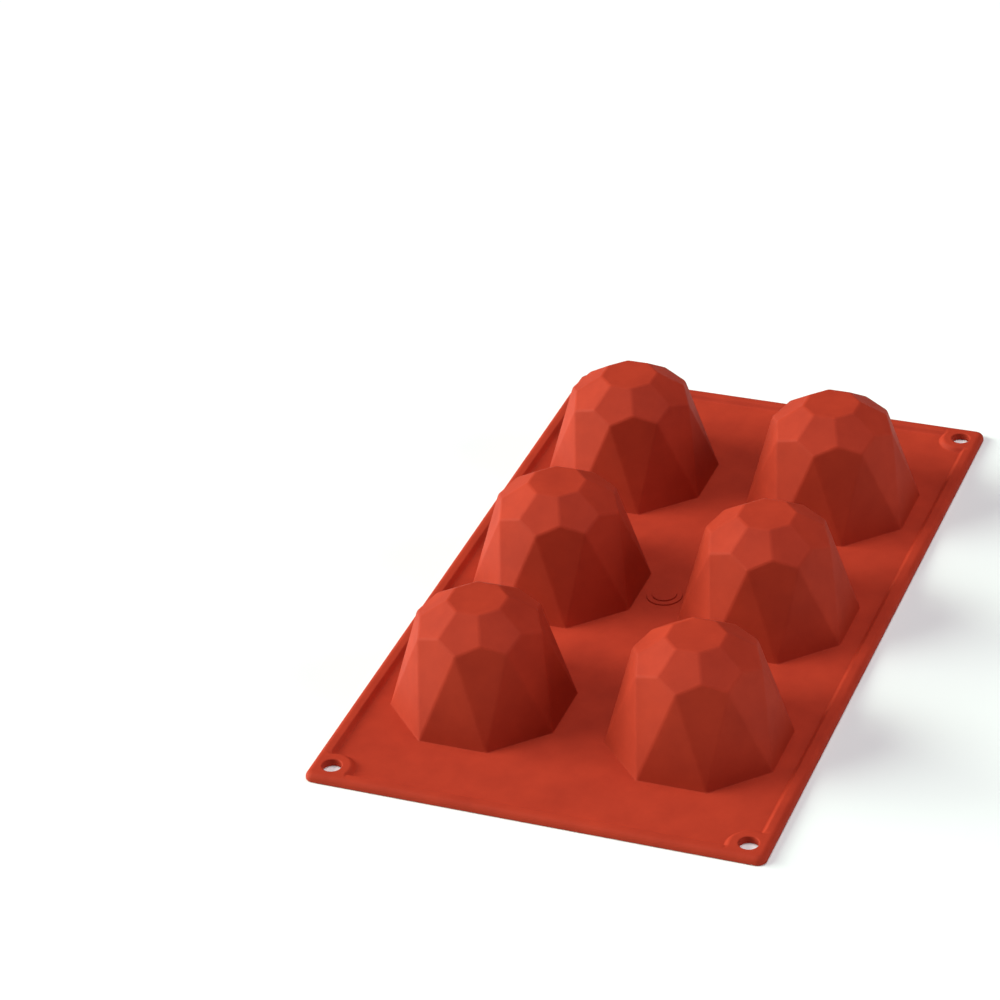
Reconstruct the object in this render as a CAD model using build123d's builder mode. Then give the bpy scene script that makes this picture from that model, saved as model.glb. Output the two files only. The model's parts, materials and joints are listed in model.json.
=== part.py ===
"""Flexible silicone casting mould: a thin sheet with six hollow gem-shaped cups, two across, three along.

Frame: millimetres, origin at the centre of the sheet on its flat cavity face, X along the sheet, Y
across it, Z up through the cups. The cavities open downwards at Z = 0.

The real mould is one moulding. It is divided here at its natural borders into regions that meet face to
face: sheet panels, flexing webs, raised rim, corner eyelets, cups and the round gate mark. The middle
row of cups is one rigid body, each end row is another, and the thin web between two rows is what bends.
"""

from build123d import *
import math
import os

# Sheet
SHEET_LENGTH = 300.0
SHEET_WIDTH = 175.0
CORNER_RADIUS = 3.6
FIELD_THICKNESS = 1.5
RIM_HEIGHT = 3.1
RIM_TOP_WIDTH = 4.3
RIM_SLOPE_WIDTH = 2.1
TOP_EDGE_RADIUS = 2.4
BOTTOM_EDGE_RADIUS = 0.5

# Corner eyelets
HOLE_RADIUS = 3.7
HOLE_INSET_X = 8.4
HOLE_INSET_Y = 8.2
BOSS_TOP_RADIUS = 6.9

# Cups
CUP_PITCH = 84.25
GEM_SIDES = 8
BASE_RADIUS = 34.9
SHOULDER_RADIUS = 21.7
SHOULDER_HEIGHT = 38.0
TABLE_RADIUS = 11.3
GEM_HEIGHT = 44.7
WALL = 2.0
FOOT_MARGIN = 1.5
LIP_RADIUS = 1.2

# Flexing web between two rows of cups
WEB_WIDTH = 14.0

# Round gate mark in the middle of the sheet: a low disc with a smaller one on it
GATE_RADIUS = 7.0
GATE_TOP_RADIUS = 4.9
GATE_STEP_HEIGHT = 0.6

# Worked out from the sizes above
HALF_STEP = 180.0 / GEM_SIDES
FLAT_RATIO = math.cos(math.radians(HALF_STEP))
HALF_LENGTH = SHEET_LENGTH / 2
HALF_WIDTH = SHEET_WIDTH / 2
RIM_WIDTH = RIM_TOP_WIDTH + RIM_SLOPE_WIDTH
BOSS_RADIUS = BOSS_TOP_RADIUS + RIM_SLOPE_WIDTH
FOOT_RADIUS = BASE_RADIUS + FOOT_MARGIN / FLAT_RATIO
ROW_X = CUP_PITCH
COLUMN_Y = CUP_PITCH / 2
WEB_INNER_X = CUP_PITCH / 2 - WEB_WIDTH / 2
WEB_OUTER_X = CUP_PITCH / 2 + WEB_WIDTH / 2
HOLE_X = HALF_LENGTH - HOLE_INSET_X
HOLE_Y = HALF_WIDTH - HOLE_INSET_Y
RIM_INNER_X = HALF_LENGTH - RIM_WIDTH
RIM_INNER_Y = HALF_WIDTH - RIM_WIDTH
# The eyelet's straight ends start where the boss circle runs into the rim.
EYELET_X = HOLE_X - math.sqrt(BOSS_RADIUS**2 - (RIM_INNER_Y - HOLE_Y) ** 2)
EYELET_Y = HOLE_Y - math.sqrt(BOSS_RADIUS**2 - (RIM_INNER_X - HOLE_X) ** 2)

ROWS = {"near": -1, "middle": 0, "far": 1}
ENDS = {"near": -1, "far": 1}
SIDES = {"left": 1, "right": -1}
CORNERS = [(x * HOLE_X, y * HOLE_Y) for x in ENDS.values() for y in SIDES.values()]
CUP_PLACES = [(x * ROW_X, y * COLUMN_Y) for x in ROWS.values() for y in SIDES.values()]

os.makedirs("parts", exist_ok=True)


def save(piece, label):
    """Labels one finished piece and writes it to its own file."""
    piece.part.label = label
    export_step(piece.part, f"parts/{label}.step")


# ---------------------------------------------------------------- gem shape


def facet_profile():
    """Each ring of facets: the turn of its first facet in degrees, a point on that facet, its steepness.

    The point is (radius, height), with heights counted from the sheet's top face. Steepness is the angle
    in radians between the facet's outward normal and vertical.
    """
    flat_table = TABLE_RADIUS * FLAT_RATIO
    flat_shoulder = SHOULDER_RADIUS * FLAT_RATIO
    flat_base = BASE_RADIUS * FLAT_RATIO
    crown_slope = (GEM_HEIGHT - SHOULDER_HEIGHT) / (flat_shoulder - flat_table)
    kite_slope = SHOULDER_HEIGHT / (BASE_RADIUS - SHOULDER_RADIUS)
    # The girdle point is where a crown facet meets the two kites beside it.
    girdle_radius = GEM_HEIGHT + crown_slope * flat_table - kite_slope * BASE_RADIUS
    girdle_radius /= crown_slope - kite_slope * FLAT_RATIO
    girdle_height = GEM_HEIGHT - crown_slope * (girdle_radius - flat_table)
    wall_slope = girdle_height / (flat_base - girdle_radius)
    return [
        (0.0, (flat_table, GEM_HEIGHT), math.atan(crown_slope)),
        (HALF_STEP, (BASE_RADIUS, 0.0), math.atan(kite_slope)),
        (0.0, (flat_base, 0.0), math.atan(wall_slope)),
    ]


def facet_planes(inset):
    """The cutting planes of every facet, moved inwards by inset, with their normals out of the gem."""
    planes = []
    for first_turn, (radius, height), steepness in facet_profile():
        for step in range(GEM_SIDES):
            turn = math.radians(first_turn + step * 2 * HALF_STEP)
            normal = Vector(
                math.sin(steepness) * math.cos(turn),
                math.sin(steepness) * math.sin(turn),
                math.cos(steepness),
            )
            level = FIELD_THICKNESS + height
            on_facet = Vector(radius * math.cos(turn), radius * math.sin(turn), level)
            planes.append(Plane(origin=on_facet - normal * inset, z_dir=normal))
    return planes


def gem(inset, bottom):
    """A solid gem whose facets lie inset inside the cup's outer ones, cut off flat at bottom."""
    with BuildPart() as body:
        with BuildSketch(Plane.XY.offset(bottom)):
            Circle(2 * BASE_RADIUS)
        extrude(amount=FIELD_THICKNESS + GEM_HEIGHT - inset - bottom)
        for facet in facet_planes(inset):
            split(bisect_by=facet, keep=Keep.BOTTOM)
    return body.part


# ---------------------------------------------------------------- cups

gem_outside = gem(0.0, FIELD_THICKNESS)
gem_cavity = gem(WALL, 0.0)

with BuildPart() as cup_shell:
    with BuildSketch():
        RegularPolygon(FOOT_RADIUS, GEM_SIDES, rotation=HALF_STEP)
    extrude(amount=FIELD_THICKNESS)
    add(gem_outside)
    add(gem_cavity, mode=Mode.SUBTRACT)
    mouth = cup_shell.faces().sort_by(Axis.Z)[0].inner_wires()[0]
    fillet(mouth.edges(), LIP_RADIUS)

for row, along in ROWS.items():
    for side, across in SIDES.items():
        with BuildPart() as cup:
            with Locations((along * ROW_X, across * COLUMN_Y)):
                add(cup_shell.part)
        save(cup, f"{row}_{side}_cup")


# ---------------------------------------------------------------- sheet before it is divided


def field_outline(rim_width, boss_radius):
    """The flat field inside the rim, with the corner bosses taken out of it."""
    Rectangle(SHEET_LENGTH - 2 * rim_width, SHEET_WIDTH - 2 * rim_width)
    with Locations(*CORNERS):
        Circle(boss_radius, mode=Mode.SUBTRACT)


with BuildPart() as sheet:
    with BuildSketch():
        RectangleRounded(SHEET_LENGTH, SHEET_WIDTH, CORNER_RADIUS)
    extrude(amount=RIM_HEIGHT)
    fillet(sheet.faces().sort_by(Axis.Z)[-1].edges(), TOP_EDGE_RADIUS)
    fillet(sheet.faces().sort_by(Axis.Z)[0].edges(), BOTTOM_EDGE_RADIUS)
    with BuildSketch(Plane.XY.offset(FIELD_THICKNESS)):
        field_outline(RIM_WIDTH, BOSS_RADIUS)
    with BuildSketch(Plane.XY.offset(RIM_HEIGHT)):
        field_outline(RIM_TOP_WIDTH, BOSS_TOP_RADIUS)
    loft(ruled=True, mode=Mode.SUBTRACT)
    with BuildSketch():
        with Locations(*CORNERS):
            Circle(HOLE_RADIUS)
        with Locations(*CUP_PLACES):
            RegularPolygon(FOOT_RADIUS, GEM_SIDES, rotation=HALF_STEP)
    extrude(amount=RIM_HEIGHT, mode=Mode.SUBTRACT)


# ---------------------------------------------------------------- regions of the sheet


def rectangle_between(x_range, y_range):
    """A rectangle given by its lowest and highest x and y."""
    width = x_range[1] - x_range[0]
    depth = y_range[1] - y_range[0]
    with Locations((x_range[0] + width / 2, y_range[0] + depth / 2)):
        Rectangle(width, depth)


def ordered(first, second):
    """Two numbers, smaller first."""
    return (min(first, second), max(first, second))


def save_rectangular_region(label, x_range, y_range):
    """Cuts the sheet down to one rectangle and saves it."""
    with BuildPart() as region:
        add(sheet.part)
        with BuildSketch():
            rectangle_between(x_range, y_range)
        extrude(amount=RIM_HEIGHT, mode=Mode.INTERSECT)
    save(region, label)


save_rectangular_region("middle_panel", (-WEB_INNER_X, WEB_INNER_X), (-RIM_INNER_Y, RIM_INNER_Y))

for end, along in ENDS.items():
    panel_x = ordered(along * WEB_OUTER_X, along * RIM_INNER_X)
    with BuildPart() as panel:
        add(sheet.part)
        with BuildSketch():
            rectangle_between(panel_x, (-RIM_INNER_Y, RIM_INNER_Y))
            with Locations(*CORNERS):
                Circle(BOSS_RADIUS, mode=Mode.SUBTRACT)
        extrude(amount=RIM_HEIGHT, mode=Mode.INTERSECT)
    save(panel, f"{end}_panel")

for end, along in ENDS.items():
    web_x = ordered(along * WEB_INNER_X, along * WEB_OUTER_X)
    save_rectangular_region(f"{end}_flex_web", web_x, (-HALF_WIDTH, HALF_WIDTH))
    end_x = ordered(along * RIM_INNER_X, along * HALF_LENGTH)
    save_rectangular_region(f"{end}_end_rim", end_x, (-EYELET_Y, EYELET_Y))

for side, across in SIDES.items():
    rim_y = ordered(across * RIM_INNER_Y, across * HALF_WIDTH)
    save_rectangular_region(f"middle_{side}_rim", (-WEB_INNER_X, WEB_INNER_X), rim_y)
    for end, along in ENDS.items():
        rim_x = ordered(along * WEB_OUTER_X, along * EYELET_X)
        save_rectangular_region(f"{end}_{side}_rim", rim_x, rim_y)

for end, along in ENDS.items():
    for side, across in SIDES.items():
        rim_x = ordered(along * RIM_INNER_X, along * HALF_LENGTH)
        rim_y = ordered(across * RIM_INNER_Y, across * HALF_WIDTH)
        eyelet_x = ordered(along * EYELET_X, along * HALF_LENGTH)
        eyelet_y = ordered(across * EYELET_Y, across * HALF_WIDTH)
        with BuildPart() as eyelet:
            add(sheet.part)
            with BuildSketch():
                with Locations((along * HOLE_X, across * HOLE_Y)):
                    Circle(BOSS_RADIUS)
                rectangle_between(rim_x, eyelet_y)
                rectangle_between(eyelet_x, rim_y)
            extrude(amount=RIM_HEIGHT, mode=Mode.INTERSECT)
        save(eyelet, f"{end}_{side}_eyelet")


# ---------------------------------------------------------------- gate mark

with BuildPart() as gate_mark:
    with BuildSketch(Plane.XY.offset(FIELD_THICKNESS)):
        Circle(GATE_RADIUS)
    extrude(amount=GATE_STEP_HEIGHT)
    with BuildSketch(Plane.XY.offset(FIELD_THICKNESS + GATE_STEP_HEIGHT)):
        Circle(GATE_TOP_RADIUS)
    extrude(amount=GATE_STEP_HEIGHT)
save(gate_mark, "gate_mark")
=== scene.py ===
"""Looks of a flexible silicone casting mould: one thin rimmed sheet with six hollow gem-shaped cups.

Every piece is built in place, in metres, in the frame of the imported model: X along the sheet, Y across
it, Z up, the flat cavity face at Z = 0. The real mould is one moulding, so neighbouring pieces share
their border, and the material's pattern runs on from piece to piece.
"""

import json
import math

import bmesh
import bpy
from mathutils import Euler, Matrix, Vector
from mathutils.geometry import delaunay_2d_cdt
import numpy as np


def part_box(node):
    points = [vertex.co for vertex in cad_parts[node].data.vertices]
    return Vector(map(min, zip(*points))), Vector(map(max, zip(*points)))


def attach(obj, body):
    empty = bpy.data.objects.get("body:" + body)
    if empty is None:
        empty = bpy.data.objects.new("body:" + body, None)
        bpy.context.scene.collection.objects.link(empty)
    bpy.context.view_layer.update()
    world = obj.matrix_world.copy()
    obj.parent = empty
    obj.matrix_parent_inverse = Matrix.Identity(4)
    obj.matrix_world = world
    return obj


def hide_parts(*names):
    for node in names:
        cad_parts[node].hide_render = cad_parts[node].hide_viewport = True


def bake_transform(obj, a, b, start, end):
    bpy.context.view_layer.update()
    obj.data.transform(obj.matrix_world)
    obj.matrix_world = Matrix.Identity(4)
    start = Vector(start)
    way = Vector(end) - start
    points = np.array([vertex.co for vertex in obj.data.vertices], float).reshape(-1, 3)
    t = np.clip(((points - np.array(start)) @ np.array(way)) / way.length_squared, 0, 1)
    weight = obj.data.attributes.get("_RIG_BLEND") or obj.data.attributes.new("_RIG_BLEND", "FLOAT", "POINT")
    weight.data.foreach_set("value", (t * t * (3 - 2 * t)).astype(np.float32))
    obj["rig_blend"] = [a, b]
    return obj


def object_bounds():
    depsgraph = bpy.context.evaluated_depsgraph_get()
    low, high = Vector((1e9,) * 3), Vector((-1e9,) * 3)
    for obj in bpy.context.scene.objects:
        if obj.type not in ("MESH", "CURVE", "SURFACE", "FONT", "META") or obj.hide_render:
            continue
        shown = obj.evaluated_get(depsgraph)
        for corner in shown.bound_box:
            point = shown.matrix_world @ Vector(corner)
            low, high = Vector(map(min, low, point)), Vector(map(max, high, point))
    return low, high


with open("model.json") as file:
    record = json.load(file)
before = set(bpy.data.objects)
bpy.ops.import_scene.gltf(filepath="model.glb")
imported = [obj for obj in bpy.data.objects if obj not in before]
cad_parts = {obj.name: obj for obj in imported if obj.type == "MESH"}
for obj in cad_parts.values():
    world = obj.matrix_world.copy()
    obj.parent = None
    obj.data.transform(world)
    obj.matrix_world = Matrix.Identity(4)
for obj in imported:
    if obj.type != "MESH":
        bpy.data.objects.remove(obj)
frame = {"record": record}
cad_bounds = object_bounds()

MM = 0.001

# Sheet. The overall sizes come from the frame, the section's sizes repeat the CAD model's.
HALF_LENGTH = cad_bounds[1].x
HALF_WIDTH = cad_bounds[1].y
FIELD_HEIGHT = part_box("middle_panel")[1].z
RIM_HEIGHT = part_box("near_end_rim")[1].z
CORNER_RADIUS = 3.6 * MM
RIM_TOP_WIDTH = 4.3 * MM
RIM_SLOPE_WIDTH = 2.1 * MM
TOP_EDGE_RADIUS = 2.4 * MM
BOTTOM_EDGE_RADIUS = 0.5 * MM
RIM_WIDTH = RIM_TOP_WIDTH + RIM_SLOPE_WIDTH
RIM_INNER_X = HALF_LENGTH - RIM_WIDTH
RIM_INNER_Y = HALF_WIDTH - RIM_WIDTH

# Corner eyelets
HOLE_RADIUS = 3.7 * MM
HOLE_EDGE_RADIUS = 0.4 * MM
HOLE_INSET_X = 8.4 * MM
HOLE_INSET_Y = 8.2 * MM
BOSS_TOP_RADIUS = 6.9 * MM
HOLE_X = HALF_LENGTH - HOLE_INSET_X
HOLE_Y = HALF_WIDTH - HOLE_INSET_Y
BOSS_RADIUS = BOSS_TOP_RADIUS + RIM_SLOPE_WIDTH
# The eyelet's straight ends start where the boss circle runs into the rim.
EYELET_X = HOLE_X - math.sqrt(BOSS_RADIUS**2 - (RIM_INNER_Y - HOLE_Y) ** 2)
EYELET_Y = HOLE_Y - math.sqrt(BOSS_RADIUS**2 - (RIM_INNER_X - HOLE_X) ** 2)

# Cups
GEM_SIDES = 8
BASE_RADIUS = 34.9 * MM
SHOULDER_RADIUS = 21.7 * MM
SHOULDER_HEIGHT = 38.0 * MM
TABLE_RADIUS = 11.3 * MM
WALL = 2.0 * MM
HALF_STEP = math.pi / GEM_SIDES
FLAT_RATIO = math.cos(HALF_STEP)
GEM_HEIGHT = cad_bounds[1].z - FIELD_HEIGHT
FACET_ROUNDING = 0.8 * MM
BASE_ROUNDING = 0.25 * MM
MOUTH_ROUNDING = 1.1 * MM
OUTSIDE_RINGS = ("table", "shoulder", "girdle", "base")
CAVITY_RINGS = OUTSIDE_RINGS + ("mouth",)
BEVEL_LAYER = "bevel_weight_edge"

# Gate mark: a low disc with a smaller one on it
GATE_RADIUS = 7.0 * MM
GATE_TOP_RADIUS = 4.9 * MM
GATE_EDGE_RADIUS = 0.2 * MM

# How finely the surfaces are divided
ROUNDING_STEPS = 6
SLOPE_STEPS = 8
END_RIM_STEPS = 8
SIDE_RIM_STEPS = 6
WEB_STEPS = 18
WEB_CROSS_STEPS = 24
BOSS_ARC_STEPS = 24
EYELET_SIDE_STEPS = 8
EYELET_CORNER_STEPS = 12
EYELET_RING_STEPS = 9
CUP_BEVEL_STEPS = 4
GATE_SIDES = 96
GATE_EDGE_STEPS = 4
PANEL_GRID = 8 * MM
PANEL_GRID_MARGIN = 0.35 * PANEL_GRID
MERGE_DISTANCE = 1e-7
SMOOTH_BELOW = math.radians(40)

# Silicone
DEEPER_RED = (0.366, 0.0320, 0.0134, 1)
LIGHTER_RED = (0.442, 0.0408, 0.0165, 1)
LEAST_ROUGHNESS = 0.6
MOST_ROUGHNESS = 0.75
SILICONE_SPECULAR = 0.1
GRAIN_STRENGTH = 0.45
GRAIN_DEPTH = 0.05 * MM

# Floor
FLOOR_HALF = 15.0
FLOOR_COLOUR = (0.92, 0.98, 0.93, 1)
FLOOR_ROUGHNESS = 0.7
FLOOR_SPECULAR = 0.2

# Camera: its lens and sensor are in millimetres, its turns in degrees
LENS = 137.3
SENSOR_WIDTH = 36.0
VIEW_DEPTH = 20.0
CAMERA_PLACE = (-1.1531, -0.4172, 0.8158)
CAMERA_TURNS = (57.917, 2.975, -69.119)

ROWS = ("near", "middle", "far")
ENDS = {"near": -1, "far": 1}
SIDES = {"left": 1, "right": -1}


# ---------------------------------------------------------------- the sheet's relief


def rounding(distance, radius):
    """How far a rounded edge of that radius has dropped, at a distance inside the edge."""
    if distance >= radius:
        return 0.0
    return radius - math.sqrt(max(0.0, radius**2 - (radius - distance) ** 2))


def smooth_step(share):
    """Goes from 0 to 1 with level ends."""
    share = min(1.0, max(0.0, share))
    return share * share * (3 - 2 * share)


def edge_distance(x, y):
    """How far inside the sheet's rounded outline a point lies."""
    from_x = HALF_LENGTH - abs(x)
    from_y = HALF_WIDTH - abs(y)
    if from_x < CORNER_RADIUS and from_y < CORNER_RADIUS:
        return CORNER_RADIUS - math.hypot(CORNER_RADIUS - from_x, CORNER_RADIUS - from_y)
    return min(from_x, from_y)


def hole_distance(x, y):
    """How far a point is from the centre of the nearest corner hole."""
    return math.hypot(abs(x) - HOLE_X, abs(y) - HOLE_Y)


def top_height(x, y):
    """Height of the cup side of the sheet: the field, the rim and the corner bosses."""
    rim = smooth_step((RIM_WIDTH - edge_distance(x, y)) / RIM_SLOPE_WIDTH)
    boss = smooth_step((BOSS_RADIUS - hole_distance(x, y)) / RIM_SLOPE_WIDTH)
    height = FIELD_HEIGHT + (RIM_HEIGHT - FIELD_HEIGHT) * max(rim, boss)
    height -= rounding(edge_distance(x, y), TOP_EDGE_RADIUS)
    return height - rounding(hole_distance(x, y) - HOLE_RADIUS, HOLE_EDGE_RADIUS)


def bottom_height(x, y):
    """Height of the flat cavity side, which only rises at the outer edge and at the holes."""
    height = rounding(edge_distance(x, y), BOTTOM_EDGE_RADIUS)
    return height + rounding(hole_distance(x, y) - HOLE_RADIUS, HOLE_EDGE_RADIUS)


def rounding_stops(radius):
    """Distances from an edge at which its rounding is sampled, the edge itself first."""
    turns = [math.pi / 2 * step / ROUNDING_STEPS for step in range(ROUNDING_STEPS + 1)]
    return [radius * (1 - math.cos(turn)) for turn in turns]


def rim_stops():
    """Distances from the sheet's outer edge at which the rim is sampled, the edge itself first."""
    slope = [RIM_TOP_WIDTH + RIM_SLOPE_WIDTH * step / SLOPE_STEPS for step in range(SLOPE_STEPS + 1)]
    return rounding_stops(TOP_EDGE_RADIUS) + slope


# ---------------------------------------------------------------- silicone


def silicone_material():
    """Matte terracotta silicone: slightly uneven colour, uneven dullness and a fine moulded grain."""
    material = bpy.data.materials.new("terracotta_silicone")
    material.use_nodes = True
    nodes = material.node_tree.nodes
    links = material.node_tree.links
    shader = nodes["Principled BSDF"]
    shader.inputs["Specular IOR Level"].default_value = SILICONE_SPECULAR
    place = nodes.new("ShaderNodeTexCoord")

    def noise(scale, detail, roughness):
        """A noise over the object's own coordinates, with about scale waves in a metre."""
        node = nodes.new("ShaderNodeTexNoise")
        node.inputs["Scale"].default_value = scale
        node.inputs["Detail"].default_value = detail
        node.inputs["Roughness"].default_value = roughness
        links.new(place.outputs["Object"], node.inputs["Vector"])
        return node

    clouds = noise(scale=60.0, detail=6.0, roughness=0.62)
    colour = nodes.new("ShaderNodeValToRGB")
    deeper, lighter = colour.color_ramp.elements
    deeper.position = 0.3
    deeper.color = DEEPER_RED
    lighter.position = 0.7
    lighter.color = LIGHTER_RED
    links.new(clouds.outputs["Fac"], colour.inputs["Fac"])
    links.new(colour.outputs["Color"], shader.inputs["Base Color"])

    wear = noise(scale=90.0, detail=4.0, roughness=0.5)
    dullness = nodes.new("ShaderNodeMapRange")
    dullness.inputs["To Min"].default_value = LEAST_ROUGHNESS
    dullness.inputs["To Max"].default_value = MOST_ROUGHNESS
    links.new(wear.outputs["Fac"], dullness.inputs["Value"])
    links.new(dullness.outputs["Result"], shader.inputs["Roughness"])

    grain = noise(scale=2600.0, detail=2.0, roughness=0.6)
    grain_bump = nodes.new("ShaderNodeBump")
    grain_bump.inputs["Strength"].default_value = GRAIN_STRENGTH
    grain_bump.inputs["Distance"].default_value = GRAIN_DEPTH
    links.new(grain.outputs["Fac"], grain_bump.inputs["Height"])
    links.new(grain_bump.outputs["Normal"], shader.inputs["Normal"])
    return material


silicone = silicone_material()


# ---------------------------------------------------------------- from a bmesh to a finished piece


def make_object(name, mesh_data):
    """Turns a bmesh into an object with smooth rounded edges and flat faces."""
    mesh = bpy.data.meshes.new(name)
    mesh_data.to_mesh(mesh)
    mesh_data.free()
    mesh.shade_smooth()
    mesh.set_sharp_from_angle(angle=SMOOTH_BELOW)
    piece = bpy.data.objects.new(name, mesh)
    bpy.context.scene.collection.objects.link(piece)
    return piece


def dress(piece):
    """Gives a piece its silicone, and keeps its large faces flat in shading while its small ones turn."""
    modifier = piece.modifiers.new("weighted_normals", "WEIGHTED_NORMAL")
    modifier.keep_sharp = True
    piece.data.materials.append(silicone)


def body_of_node(node):
    """The body that a CAD node rides on."""
    for body, members in frame["record"]["behaviour"]["bodies"].items():
        if node in members:
            return body


def finish_piece(piece, node):
    """Dresses a piece and lets it ride its CAD node's body and stand for that node."""
    dress(piece)
    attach(piece, body_of_node(node))
    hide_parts(node)


def slab(name, points, faces):
    """A closed piece from a flat plan: top and bottom follow the sheet's relief, open sides get walls."""
    mesh = bmesh.new()
    top = [mesh.verts.new((x, y, top_height(x, y))) for x, y in points]
    bottom = [mesh.verts.new((x, y, bottom_height(x, y))) for x, y in points]
    edges = set()
    for face in faces:
        mesh.faces.new([top[i] for i in face])
        mesh.faces.new([bottom[i] for i in reversed(face)])
        edges.update(zip(face, face[1:] + face[:1]))
    for a, b in sorted(edges):
        if (b, a) not in edges:
            mesh.faces.new([top[a], bottom[a], bottom[b], top[b]])
    return make_object(name, mesh)


def grid_plan(xs, ys):
    """Points and anticlockwise faces of a rectangular grid."""
    points = [(x, y) for x in xs for y in ys]
    rows = len(ys)
    faces = []
    for i in range(len(xs) - 1):
        for j in range(rows - 1):
            corner = i * rows + j
            faces.append([corner, corner + rows, corner + rows + 1, corner + 1])
    return points, faces


def evenly(start, end, steps):
    """Evenly spaced numbers from start to end, both included."""
    return [start + (end - start) * step / steps for step in range(steps + 1)]


# ---------------------------------------------------------------- rim and flexing webs


def along_edge(sign, half_size):
    """The rim's section stops as coordinates at one outer edge, in rising order."""
    return sorted(sign * (half_size - stop) for stop in rim_stops())


def make_rims():
    """The straight lengths of raised rim, each from border to border of its CAD region."""
    for end, sign in ENDS.items():
        node = f"{end}_end_rim"
        low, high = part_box(node)
        plan = grid_plan(along_edge(sign, HALF_LENGTH), evenly(low.y, high.y, END_RIM_STEPS))
        finish_piece(slab(f"{node}_soft", *plan), node)
    for row in ROWS:
        for side, sign in SIDES.items():
            node = f"{row}_{side}_rim"
            low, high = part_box(node)
            plan = grid_plan(evenly(low.x, high.x, SIDE_RIM_STEPS), along_edge(sign, HALF_WIDTH))
            finish_piece(slab(f"{node}_soft", *plan), node)


def make_webs():
    """The two strips that bend, with the rim running over them at both sides."""
    field = evenly(-RIM_INNER_Y, RIM_INNER_Y, WEB_CROSS_STEPS)[1:-1]
    across = along_edge(-1, HALF_WIDTH) + field + along_edge(1, HALF_WIDTH)
    for end, sign in ENDS.items():
        node = f"{end}_flex_web"
        low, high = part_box(node)
        piece = slab(f"{node}_soft", *grid_plan(evenly(low.x, high.x, WEB_STEPS), across))
        dress(piece)
        outer, inner = (high, low) if sign > 0 else (low, high)
        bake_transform(piece, f"{end}_row", "middle_row", start=(outer.x, 0, 0), end=(inner.x, 0, 0))
        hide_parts(node)


# ---------------------------------------------------------------- eyelets


def boss_arc(sign_x, sign_y):
    """The boss circle's points on the field side, from the end rim round to the side rim."""
    start = math.atan2(EYELET_Y - HOLE_Y, RIM_INNER_X - HOLE_X)
    end = math.atan2(RIM_INNER_Y - HOLE_Y, EYELET_X - HOLE_X) - 2 * math.pi
    return [
        (sign_x * (HOLE_X + BOSS_RADIUS * math.cos(t)), sign_y * (HOLE_Y + BOSS_RADIUS * math.sin(t)))
        for t in evenly(start, end, BOSS_ARC_STEPS)
    ]


def eyelet_outline():
    """The outline of the eyelet at the corner where X and Y are highest, anticlockwise."""
    corner_x = HALF_LENGTH - CORNER_RADIUS
    corner_y = HALF_WIDTH - CORNER_RADIUS
    end_cut = [(HALF_LENGTH - stop, EYELET_Y) for stop in reversed(rim_stops())]
    side_cut = [(EYELET_X, HALF_WIDTH - stop) for stop in rim_stops()]
    outer_x = [(HALF_LENGTH, y) for y in evenly(EYELET_Y, corner_y, EYELET_SIDE_STEPS)]
    outer_y = [(x, HALF_WIDTH) for x in evenly(corner_x, EYELET_X, EYELET_SIDE_STEPS)]
    corner = [
        (corner_x + CORNER_RADIUS * math.cos(turn), corner_y + CORNER_RADIUS * math.sin(turn))
        for turn in evenly(0, math.pi / 2, EYELET_CORNER_STEPS)
    ]
    field = list(reversed(boss_arc(1, 1)))
    return end_cut[:-1] + outer_x[:-1] + corner + outer_y[1:] + side_cut[1:] + field[1:-1]


def ring_stops(length):
    """Distances from the hole's edge to the outline, closer together at both ends."""
    inner = rounding_stops(HOLE_EDGE_RADIUS)
    outer = [length - stop for stop in reversed(rounding_stops(TOP_EDGE_RADIUS))]
    return inner + evenly(inner[-1], outer[0], EYELET_RING_STEPS)[1:-1] + outer


def eyelet_ray(x, y, sign_x, sign_y):
    """Points from the hole's edge straight out to the border at x and y, in the corner the signs name."""
    reach = Vector((x - HOLE_X, y - HOLE_Y))
    stops = ring_stops(reach.length - HOLE_RADIUS)
    reach.normalize()
    ray = [Vector((HOLE_X, HOLE_Y)) + reach * (HOLE_RADIUS + stop) for stop in stops]
    return [(sign_x * point.x, sign_y * point.y) for point in ray]


def ray_faces(ray_count, point_count, mirrored):
    """Anticlockwise faces between neighbouring rays all round a hole."""
    faces = []
    for i in range(ray_count):
        here = i * point_count
        after = (i + 1) % ray_count * point_count
        for j in range(point_count - 1):
            face = [here + j, here + j + 1, after + j + 1, after + j]
            faces.append(face[::-1] if mirrored else face)
    return faces


def make_eyelets():
    """Four corner bosses with their holes, meshed in rings from the hole out to the border."""
    outline = eyelet_outline()
    for end, sign_x in ENDS.items():
        for side, sign_y in SIDES.items():
            node = f"{end}_{side}_eyelet"
            rays = [eyelet_ray(x, y, sign_x, sign_y) for x, y in outline]
            points = [point for ray in rays for point in ray]
            faces = ray_faces(len(rays), len(rays[0]), mirrored=sign_x != sign_y)
            finish_piece(slab(f"{node}_soft", points, faces), node)


# ---------------------------------------------------------------- panels


def cup_centre(node):
    """The centre of a cup on the sheet."""
    low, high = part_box(node)
    return (low.x + high.x) / 2, (low.y + high.y) / 2


def octagon(centre, apothem):
    """Corner points of a cup's foot, anticlockwise, with flats parallel to the sheet's edges."""
    radius = apothem / FLAT_RATIO
    turns = [HALF_STEP + 2 * HALF_STEP * side for side in range(GEM_SIDES)]
    return [(centre[0] + radius * math.cos(t), centre[1] + radius * math.sin(t)) for t in turns]


def inside_octagon(point, centre, apothem):
    """Whether a point lies inside a cup's foot."""
    from_x = abs(point[0] - centre[0])
    from_y = abs(point[1] - centre[1])
    return max(from_x, from_y, (from_x + from_y) / math.sqrt(2)) < apothem


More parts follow.
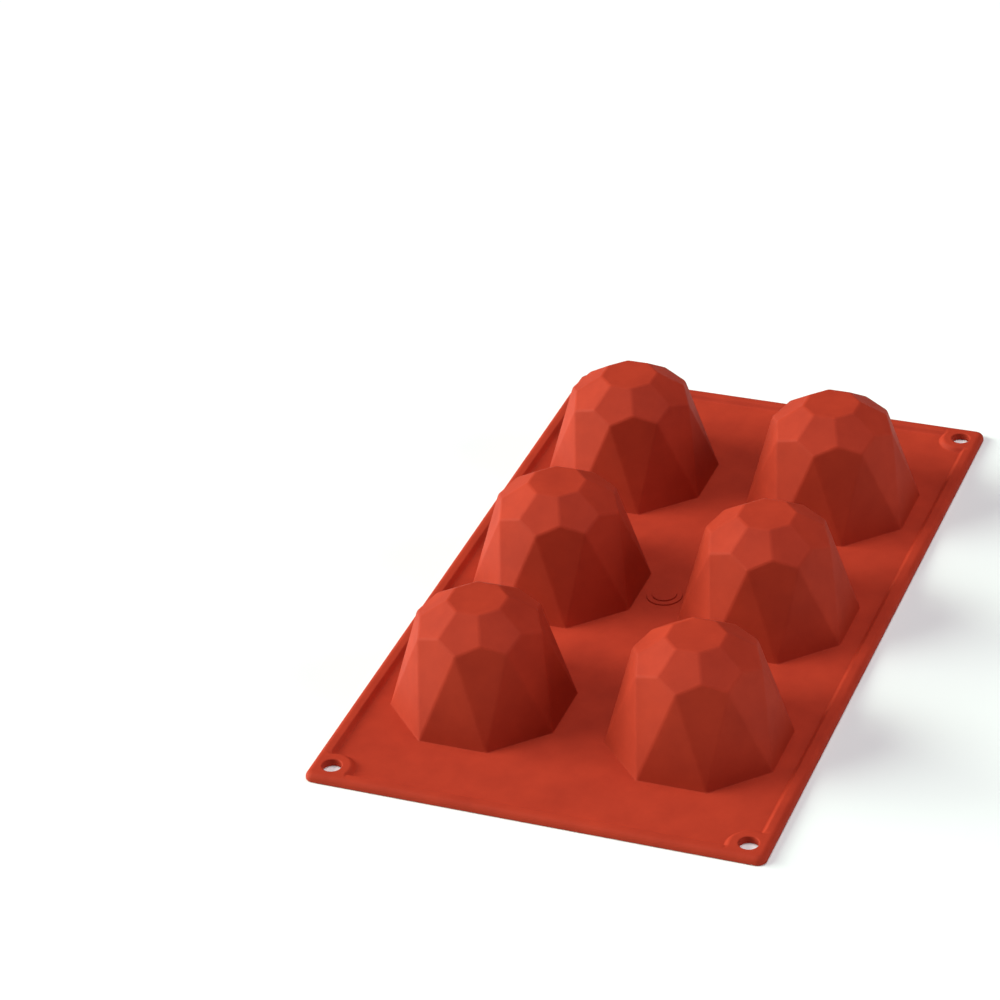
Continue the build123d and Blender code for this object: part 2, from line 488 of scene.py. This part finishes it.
def in_panel(point, low, high, centres, apothem, margin=0.0):
    """Whether a point lies on the panel's field, at least margin inside its borders."""
    x, y = point
    if not (low.x + margin < x < high.x - margin and low.y + margin < y < high.y - margin):
        return False
    if hole_distance(x, y) < BOSS_RADIUS + margin:
        return False
    return not any(inside_octagon(point, centre, apothem + margin) for centre in centres)


def panel_border(row, low, high):
    """The panel's outer border as a closed loop of points."""
    if row == "middle":
        return [(low.x, low.y), (high.x, low.y), (high.x, high.y), (low.x, high.y)]
    sign = ENDS[row]
    inner_x = low.x if sign > 0 else high.x
    left = boss_arc(sign, 1)
    right = boss_arc(sign, -1)
    return [(inner_x, high.y), (inner_x, low.y)] + right[::-1] + left


def loop_edges(loops):
    """The edges of closed loops of points, numbered as if all the loops stood in one list."""
    edges = []
    first = 0
    for loop in loops:
        edges += [(first + i, first + (i + 1) % len(loop)) for i in range(len(loop))]
        first += len(loop)
    return edges


def panel_grid(low, high, centres, apothem):
    """Even points over a panel's field, clear of its borders."""
    xs = evenly(low.x, high.x, round((high.x - low.x) / PANEL_GRID))
    ys = evenly(low.y, high.y, round((high.y - low.y) / PANEL_GRID))
    grid = [(x, y) for x in xs for y in ys]
    return [point for point in grid if in_panel(point, low, high, centres, apothem, PANEL_GRID_MARGIN)]


def make_panels():
    """The flat field around the cups of each row, meshed evenly between its borders."""
    for row in ROWS:
        node = f"{row}_panel"
        low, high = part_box(node)
        centres = [cup_centre(f"{row}_{side}_cup") for side in SIDES]
        cup_low, cup_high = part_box(f"{row}_left_cup")
        apothem = (cup_high.x - cup_low.x) / 2
        loops = [panel_border(row, low, high)] + [octagon(centre, apothem) for centre in centres]
        points = [point for loop in loops for point in loop] + panel_grid(low, high, centres, apothem)
        vectors = [Vector(point) for point in points]
        flat, _, triangles, *_ = delaunay_2d_cdt(vectors, loop_edges(loops), [], 0, MERGE_DISTANCE)
        faces = []
        for triangle in triangles:
            middle = sum((flat[i] for i in triangle), Vector((0, 0))) / 3
            if in_panel(middle, low, high, centres, apothem):
                faces.append(list(triangle))
        finish_piece(slab(f"{node}_soft", [tuple(point) for point in flat], faces), node)


# ---------------------------------------------------------------- cups


def facet_lines(inset):
    """Crown, kite and wall facets as lines in the upright plane through each facet's middle.

    Each line is (outward part of the normal, upward part, distance from the axis point at Z = 0).
    """
    flat_table = TABLE_RADIUS * FLAT_RATIO
    flat_shoulder = SHOULDER_RADIUS * FLAT_RATIO
    flat_base = BASE_RADIUS * FLAT_RATIO
    crown_slope = (GEM_HEIGHT - SHOULDER_HEIGHT) / (flat_shoulder - flat_table)
    kite_slope = SHOULDER_HEIGHT / (BASE_RADIUS - SHOULDER_RADIUS)
    girdle_radius = GEM_HEIGHT + crown_slope * flat_table - kite_slope * BASE_RADIUS
    girdle_radius /= crown_slope - kite_slope * FLAT_RATIO
    girdle_height = GEM_HEIGHT - crown_slope * (girdle_radius - flat_table)
    wall_slope = girdle_height / (flat_base - girdle_radius)
    lines = []
    for slope, radius, height in (
        (crown_slope, flat_table, GEM_HEIGHT),
        (kite_slope, BASE_RADIUS, 0.0),
        (wall_slope, flat_base, 0.0),
    ):
        tilt = math.atan(slope)
        out, up = math.sin(tilt), math.cos(tilt)
        lines.append((out, up, out * radius + up * (height + FIELD_HEIGHT) - inset))
    return lines


def meet(first, first_scale, second, second_scale):
    """Radius and height at which two lines meet, in a plane turned away from each by its own scale."""
    a, b, c = first[0] * first_scale, first[1], first[2]
    d, e, f = second[0] * second_scale, second[1], second[2]
    determinant = a * e - b * d
    return (c * e - b * f) / determinant, (a * f - c * d) / determinant


def gem_corners(inset):
    """Radius and height of each ring of the gem's corners, for facets moved inwards by inset."""
    crown, kite, wall = facet_lines(inset)
    table = (0.0, 1.0, GEM_HEIGHT + FIELD_HEIGHT - inset)
    cavity_face = (0.0, 1.0, 0.0)
    return {
        "table": meet(crown, FLAT_RATIO, table, 1),
        "shoulder": meet(crown, FLAT_RATIO, kite, 1),
        "girdle": meet(crown, 1, kite, FLAT_RATIO),
        "base": meet(kite, 1, wall, FLAT_RATIO),
        "mouth": meet(wall, FLAT_RATIO, cavity_face, 1),
    }


def corner_ring(mesh, centre, radius, height, first_turn):
    """Eight corners at one radius and height."""
    turns = [first_turn + 2 * HALF_STEP * side for side in range(GEM_SIDES)]
    return [
        mesh.verts.new((centre[0] + radius * math.cos(t), centre[1] + radius * math.sin(t), height))
        for t in turns
    ]


def gem_rings(mesh, centre, inset, names):
    """The named rings of the gem's corners; the girdle's corners lie half a step after the others."""
    corners = gem_corners(inset)
    rings = {}
    for name in names:
        radius, height = corners[name]
        turn = 2 * HALF_STEP if name == "girdle" else HALF_STEP
        rings[name] = corner_ring(mesh, centre, radius, height, turn)
    return rings


def cup_faces(rings):
    """The gem's facets as lists of corners, anticlockwise from outside, down to its base or its mouth."""
    table, shoulder, girdle, base = (rings[name] for name in OUTSIDE_RINGS)
    faces = [table]
    for k in range(GEM_SIDES):
        after = (k + 1) % GEM_SIDES
        faces.append([girdle[k], shoulder[after], table[after], table[k], shoulder[k]])
        faces.append([base[k], girdle[k], shoulder[k], girdle[k - 1]])
        if "mouth" in rings:
            mouth = rings["mouth"]
            faces.append([mouth[k], mouth[after], base[after], girdle[k], base[k]])
        else:
            faces.append([base[k], base[after], girdle[k]])
    return faces


def set_bevel(mesh, edges, width):
    """Marks edges to be rounded by width, as a share of the widest rounding."""
    layer = mesh.edges.layers.float[BEVEL_LAYER]
    for edge in edges:
        edge[layer] = width / MOUTH_ROUNDING


def ring_edges(ring):
    """The edges that join a ring's neighbouring corners."""
    edges = []
    for first, second in zip(ring, ring[1:] + ring[:1]):
        edges += [edge for edge in first.link_edges if edge.other_vert(first) == second]
    return edges


def round_cup_edges(mesh, outside, inside):
    """Marks how much each kind of edge on a cup is rounded: the facets', the base's and the mouth's."""
    corners = {corner for rings in (outside, inside) for ring in rings.values() for corner in ring}
    set_bevel(mesh, [edge for edge in mesh.edges if set(edge.verts) <= corners], FACET_ROUNDING)
    set_bevel(mesh, ring_edges(outside["base"]), BASE_ROUNDING)
    set_bevel(mesh, ring_edges(inside["mouth"]), MOUTH_ROUNDING)


def make_cup(node):
    """One hollow gem on its foot, with rounded facet edges and base and a soft mouth."""
    centre = cup_centre(node)
    low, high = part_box(node)
    foot_radius = (high.x - low.x) / 2 / FLAT_RATIO
    mesh = bmesh.new()
    mesh.edges.layers.float.new(BEVEL_LAYER)
    outside = gem_rings(mesh, centre, 0.0, OUTSIDE_RINGS)
    inside = gem_rings(mesh, centre, WALL, CAVITY_RINGS)
    foot_top = corner_ring(mesh, centre, foot_radius, FIELD_HEIGHT, HALF_STEP)
    foot_bottom = corner_ring(mesh, centre, foot_radius, 0.0, HALF_STEP)
    for face in cup_faces(outside):
        mesh.faces.new(face)
    for face in cup_faces(inside):
        mesh.faces.new(face[::-1])
    base, mouth = outside["base"], inside["mouth"]
    for k in range(GEM_SIDES):
        after = (k + 1) % GEM_SIDES
        mesh.faces.new([base[k], foot_top[k], foot_top[after], base[after]])
        mesh.faces.new([foot_bottom[k], foot_bottom[after], foot_top[after], foot_top[k]])
        mesh.faces.new([mouth[k], mouth[after], foot_bottom[after], foot_bottom[k]])
    round_cup_edges(mesh, outside, inside)
    piece = make_object(f"{node}_soft", mesh)
    bevel = piece.modifiers.new("rounding", "BEVEL")
    bevel.width = MOUTH_ROUNDING
    bevel.segments = CUP_BEVEL_STEPS
    bevel.limit_method = "WEIGHT"
    finish_piece(piece, node)


def make_cups():
    """The six cups, two in each row."""
    for row in ROWS:
        for side in SIDES:
            make_cup(f"{row}_{side}_cup")


# ---------------------------------------------------------------- gate mark


def disc_edge(radius, top):
    """Section points of a disc's rounded upper edge, from its side to its top."""
    centre_x = radius - GATE_EDGE_RADIUS
    centre_z = top - GATE_EDGE_RADIUS
    return [
        (centre_x + GATE_EDGE_RADIUS * math.cos(turn), centre_z + GATE_EDGE_RADIUS * math.sin(turn))
        for turn in evenly(0, math.pi / 2, GATE_EDGE_STEPS)
    ]


def make_gate_mark():
    """A plain two-step disc with rounded edges, in the middle of the sheet."""
    low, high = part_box("gate_mark")
    step_height = (low.z + high.z) / 2
    section = [(GATE_RADIUS, low.z)] + disc_edge(GATE_RADIUS, step_height)
    section += [(GATE_TOP_RADIUS, step_height)] + disc_edge(GATE_TOP_RADIUS, high.z)
    mesh = bmesh.new()
    turns = evenly(0, 2 * math.pi, GATE_SIDES)[:-1]
    rings = [[mesh.verts.new((r * math.cos(t), r * math.sin(t), z)) for t in turns] for r, z in section]
    for ring, above in zip(rings, rings[1:]):
        for i in range(len(turns)):
            after = (i + 1) % len(turns)
            mesh.faces.new([ring[i], ring[after], above[after], above[i]])
    mesh.faces.new(rings[-1])
    mesh.faces.new(rings[0][::-1])
    finish_piece(make_object("gate_mark_soft", mesh), "gate_mark")


# ---------------------------------------------------------------- stage, lights and camera


def make_floor():
    """A plain pale floor, wide enough that its edge is far behind the mould from every side."""
    corners = [(x * FLOOR_HALF, y * FLOOR_HALF, 0) for x, y in ((-1, -1), (1, -1), (1, 1), (-1, 1))]
    mesh = bpy.data.meshes.new("floor")
    mesh.from_pydata(corners, [], [(0, 1, 2, 3)])
    floor = bpy.data.objects.new("floor", mesh)
    bpy.context.scene.collection.objects.link(floor)
    material = bpy.data.materials.new("pale_floor")
    material.use_nodes = True
    shader = material.node_tree.nodes["Principled BSDF"]
    shader.inputs["Base Color"].default_value = FLOOR_COLOUR
    shader.inputs["Roughness"].default_value = FLOOR_ROUGHNESS
    shader.inputs["Specular IOR Level"].default_value = FLOOR_SPECULAR
    mesh.materials.append(material)


def make_backdrop():
    """A pale surround that the camera sees over the floor's edge, and that adds no light of its own."""
    world = bpy.data.worlds.new("backdrop")
    bpy.context.scene.world = world
    world.use_nodes = True
    world.node_tree.nodes["Background"].inputs["Color"].default_value = (1, 1, 1, 1)
    world.cycles_visibility.diffuse = False
    world.cycles_visibility.glossy = False


def soft_light(name, azimuth, elevation, spread, strength, colour):
    """A large soft light, far off, so that it is even over the mould and the floor.

    Angles are in degrees: azimuth is counted from +X towards +Y, elevation from the floor up, and spread
    is how wide the light looks from the mould.
    """
    turn, rise = math.radians(azimuth), math.radians(elevation)
    direction = Vector((math.cos(turn) * math.cos(rise), math.sin(turn) * math.cos(rise), math.sin(rise)))
    data = bpy.data.lights.new(name, "SUN")
    data.angle = math.radians(spread)
    data.energy = strength
    data.color = colour
    light = bpy.data.objects.new(name, data)
    light.rotation_mode = "QUATERNION"
    light.rotation_quaternion = (-direction).to_track_quat("-Z", "Y")
    bpy.context.scene.collection.objects.link(light)


def make_lights():
    """Two low soft lights from the left, a weaker one from the right, and a broad one overhead."""
    soft_light("key", azimuth=110, elevation=28, spread=28, strength=2.15, colour=(1.0, 1.10, 1.03))
    soft_light("low_side", azimuth=90, elevation=12, spread=28, strength=2.70, colour=(1.0, 1.12, 0.96))
    soft_light("fill", azimuth=270, elevation=25, spread=28, strength=0.81, colour=(1.0, 0.86, 0.90))
    soft_light("overhead", azimuth=0, elevation=89, spread=46, strength=1.72, colour=(1.0, 0.95, 1.03))


def make_camera():
    """The camera stands where the photograph's did, as worked out from the mould's corners and facets."""
    data = bpy.data.cameras.new("camera")
    data.lens = LENS
    data.sensor_width = SENSOR_WIDTH
    data.clip_end = VIEW_DEPTH
    camera = bpy.data.objects.new("camera", data)
    camera.location = CAMERA_PLACE
    camera.rotation_euler = Euler([math.radians(turn) for turn in CAMERA_TURNS])
    bpy.context.scene.collection.objects.link(camera)
    bpy.context.scene.camera = camera


make_rims()
make_webs()
make_eyelets()
make_panels()
make_cups()
make_gate_mark()
make_floor()
make_backdrop()
make_lights()
make_camera()
bpy.context.scene.view_settings.view_transform = "Standard"
